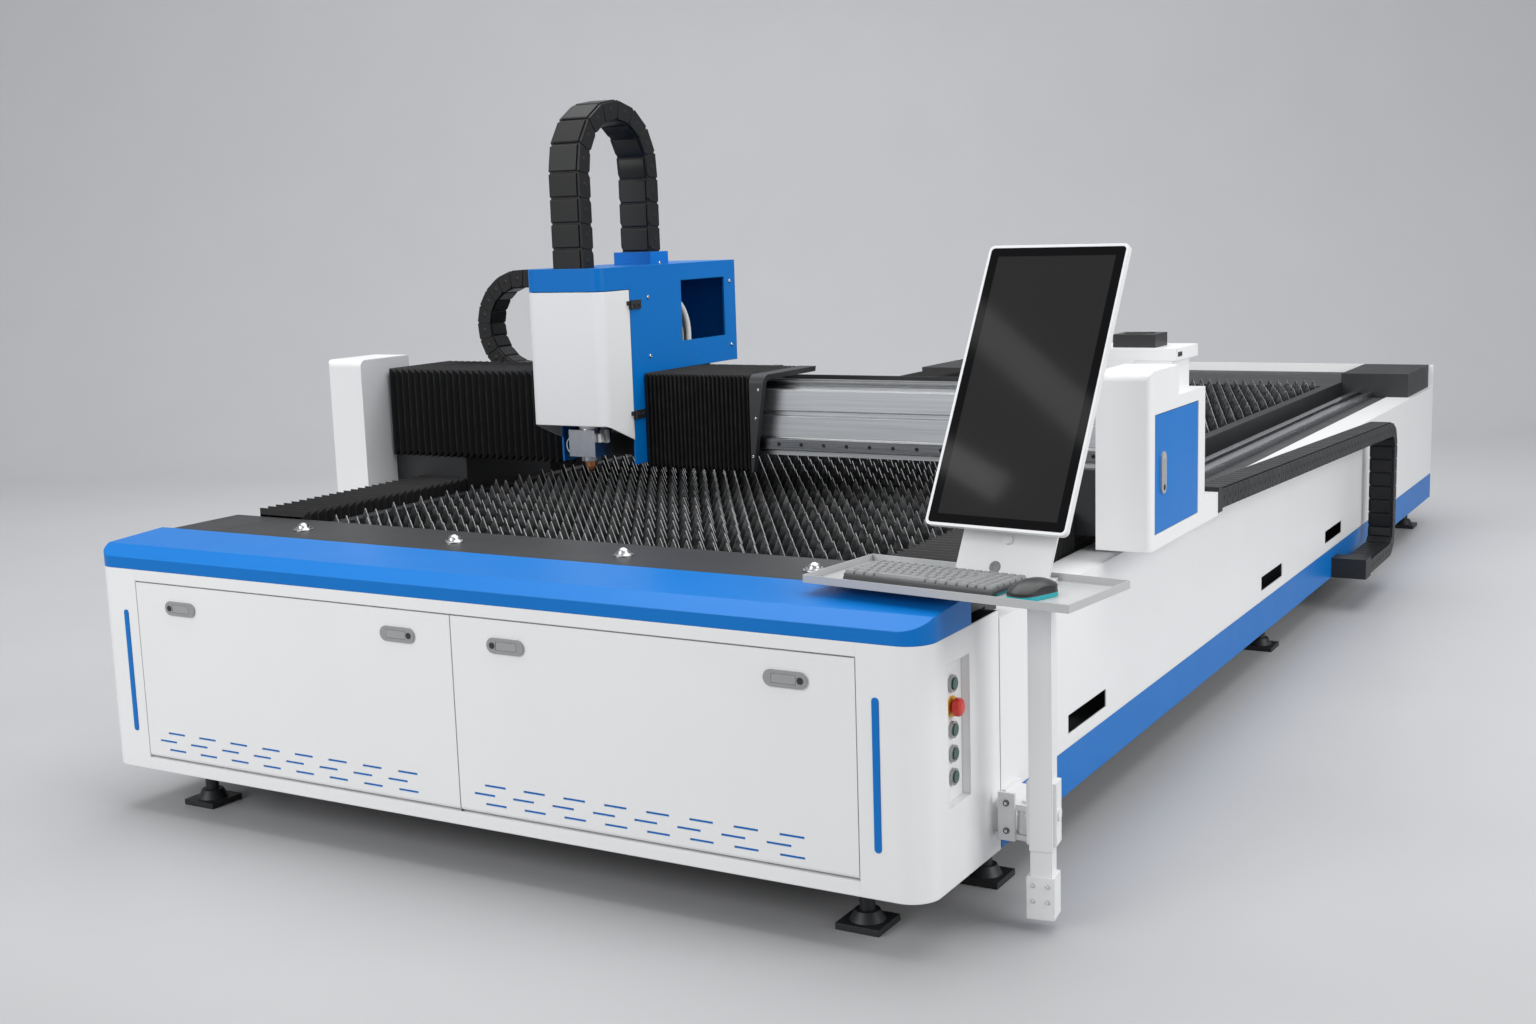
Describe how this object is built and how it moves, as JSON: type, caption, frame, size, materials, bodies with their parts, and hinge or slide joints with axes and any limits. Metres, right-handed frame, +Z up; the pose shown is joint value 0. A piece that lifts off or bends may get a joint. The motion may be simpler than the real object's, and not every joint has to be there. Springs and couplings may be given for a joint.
{
  "type": "laser cutting machine",
  "caption": "Open-bed sheet laser cutter: slatted table, travelling gantry with bellows and drag chains, cutting head, front cabinet and a swing-out console.",
  "frame": {"origin": "on the floor under the middle of the machine's box", "axes": "+X to the operator's right, +Y from the cabinet front to the back, +Z up"},
  "size_m": [2.6574, 5.2697, 1.7378],
  "materials": {
    "white_paint": "satin powder coat",
    "grey_paint": "satin powder coat",
    "blue_paint": "satin powder coat",
    "dark_paint": "matt powder coat",
    "slat_steel": "cut mild steel",
    "bright_steel": "ground",
    "beam_aluminium": "extruded",
    "chain_plastic": "moulded",
    "bellows_cloth": "coated cloth",
    "grey_plastic": "moulded",
    "black_plastic": "moulded",
    "screen_black": "polished",
    "green_plastic": "moulded",
    "red_plastic": "moulded",
    "copper": "turned",
    "white_plastic": "extruded tube"
  },
  "bodies": {
    "bed": {"bed_frame": "dark_paint", "wall_panels": "white_paint", "blue_skirts": "blue_paint", "levelling_feet": "dark_paint", "cabinet_shell": "white_paint", "cabinet_lining": "grey_paint", "cabinet_equipment": "dark_paint", "front_cap": "blue_paint", "rim_plates": "dark_paint", "ball_transfers": "bright_steel", "table_sides": "dark_paint", "slats": "slat_steel", "y_rails": "bright_steel", "button_bezels": "bright_steel", "arm_bracket": "white_paint", "y_chain": "chain_plastic", "y_bellows": "bellows_cloth"},
    "door_left": {"front_door_left": "white_paint", "vent_back_left": "blue_paint"},
    "door_right": {"front_door_right": "white_paint", "vent_back_right": "blue_paint"},
    "latch_1": {"latch_paddle_1": "grey_plastic"},
    "latch_2": {"latch_paddle_2": "grey_plastic"},
    "latch_3": {"latch_paddle_3": "grey_plastic"},
    "latch_4": {"latch_paddle_4": "grey_plastic"},
    "button_1": {"push_button_1": "green_plastic"},
    "button_2": {"push_button_2": "green_plastic"},
    "button_3": {"push_button_3": "green_plastic"},
    "button_4": {"push_button_4": "green_plastic"},
    "emergency": {"emergency_button": "red_plastic"},
    "gantry": {"gantry_beam": "beam_aluminium", "x_rails": "bright_steel", "gantry_saddles": "dark_paint", "gantry_covers": "white_paint", "fan_box": "chain_plastic", "y_motors": "dark_paint", "x_chain_tray": "dark_paint", "x_chain": "chain_plastic", "x_bellows_left": "bellows_cloth"},
    "fan": {"fan_rotor": "chain_plastic"},
    "service_door": {"cover_door": "blue_paint"},
    "service_handle": {"cover_handle": "grey_plastic"},
    "carriage": {"head_housing": "blue_paint", "carriage_plate": "dark_paint", "head_motors": "dark_paint", "x_bellows_right": "bellows_cloth", "head_hose": "white_plastic", "z_chain": "chain_plastic"},
    "head_front": {"head_cover": "white_paint", "cover_hinge_leaves": "dark_paint"},
    "z_head": {"cutting_head": "bright_steel", "nozzle": "copper", "sensor_lead": "white_plastic"},
    "console": {"console_column": "white_paint", "console_tray": "white_paint", "monitor_stand": "grey_paint", "keyboard": "grey_plastic", "mouse": "black_plastic"},
    "monitor": {"monitor_frame": "white_paint", "monitor_glass": "screen_black"}
  },
  "joints": [
    {"name": "gantry_slide", "type": "slide", "parent": "bed", "child": "gantry", "axis": [0, 1, 0], "range_m": [-0.38, 3], "deforming": ["y_bellows", "y_chain"]},
    {"name": "head_slide", "type": "slide", "parent": "gantry", "child": "carriage", "axis": [1, 0, 0], "range_m": [-0.36, 0.8], "deforming": ["x_bellows_left", "x_chain"]},
    {"name": "z_slide", "type": "slide", "parent": "carriage", "child": "z_head", "axis": [0, 0, 1], "range_m": [-0.05, 0.05], "deforming": ["z_chain"]},
    {"name": "front_door_left_hinge", "type": "hinge", "parent": "bed", "child": "door_left", "pos_m": [-0.58014, -2.616, 0.16], "axis": [1, 0, 0], "range_deg": [0, 90]},
    {"name": "front_door_right_hinge", "type": "hinge", "parent": "bed", "child": "door_right", "pos_m": [0.40186, -2.616, 0.16], "axis": [1, 0, 0], "range_deg": [0, 90]},
    {"name": "latch_1_turn", "type": "hinge", "parent": "door_left", "child": "latch_1", "pos_m": [-0.94279, -2.62815, 0.534], "axis": [0, 0, -1], "range_deg": [0, 50]},
    {"name": "latch_2_turn", "type": "hinge", "parent": "door_left", "child": "latch_2", "pos_m": [-0.21649, -2.62815, 0.534], "axis": [0, 0, 1], "range_deg": [0, 50]},
    {"name": "latch_3_turn", "type": "hinge", "parent": "door_right", "child": "latch_3", "pos_m": [0.03821, -2.62815, 0.534], "axis": [0, 0, -1], "range_deg": [0, 50]},
    {"name": "latch_4_turn", "type": "hinge", "parent": "door_right", "child": "latch_4", "pos_m": [0.76451, -2.62815, 0.534], "axis": [0, 0, 1], "range_deg": [0, 50]},
    {"name": "button_1_press", "type": "slide", "parent": "bed", "child": "button_1", "axis": [-1, 0, 0], "range_m": [0, 0.0035], "stiffness_N_per_m": 600},
    {"name": "button_2_press", "type": "slide", "parent": "bed", "child": "button_2", "axis": [-1, 0, 0], "range_m": [0, 0.0035], "stiffness_N_per_m": 600},
    {"name": "button_3_press", "type": "slide", "parent": "bed", "child": "button_3", "axis": [-1, 0, 0], "range_m": [0, 0.0035], "stiffness_N_per_m": 600},
    {"name": "button_4_press", "type": "slide", "parent": "bed", "child": "button_4", "axis": [-1, 0, 0], "range_m": [0, 0.0035], "stiffness_N_per_m": 600},
    {"name": "emergency_press", "type": "slide", "parent": "bed", "child": "emergency", "axis": [-1, 0, 0], "range_m": [0, 0.004], "stiffness_N_per_m": 1000},
    {"name": "fan_spin", "type": "hinge", "parent": "gantry", "child": "fan", "pos_m": [1.00586, -1.288, 1.09], "axis": [0, 0, 1], "continuous": true},
    {"name": "service_door_hinge", "type": "hinge", "parent": "gantry", "child": "service_door", "pos_m": [1.14386, -1.2925, 0.808], "axis": [0, 0, 1], "range_deg": [0, 90]},
    {"name": "service_handle_turn", "type": "hinge", "parent": "service_door", "child": "service_handle", "pos_m": [1.15401, -1.565, 0.78535], "axis": [0, 1, 0], "range_deg": [0, 50]},
    {"name": "head_cover_hinge", "type": "hinge", "parent": "carriage", "child": "head_front", "pos_m": [-0.28114, -1.598, 1.05], "axis": [0, 0, 1], "range_deg": [0, 85]},
    {"name": "console_swivel", "type": "hinge", "parent": "bed", "child": "console", "pos_m": [1.10086, -2.29, 0.195], "axis": [0, 0, 1], "range_deg": [0, 90]},
    {"name": "monitor_tilt", "type": "hinge", "parent": "console", "child": "monitor", "pos_m": [1.07727, -2.23595, 0.90732], "axis": [0.9925, -0.1219, 0], "range_deg": [-12, 8]}
  ]
}
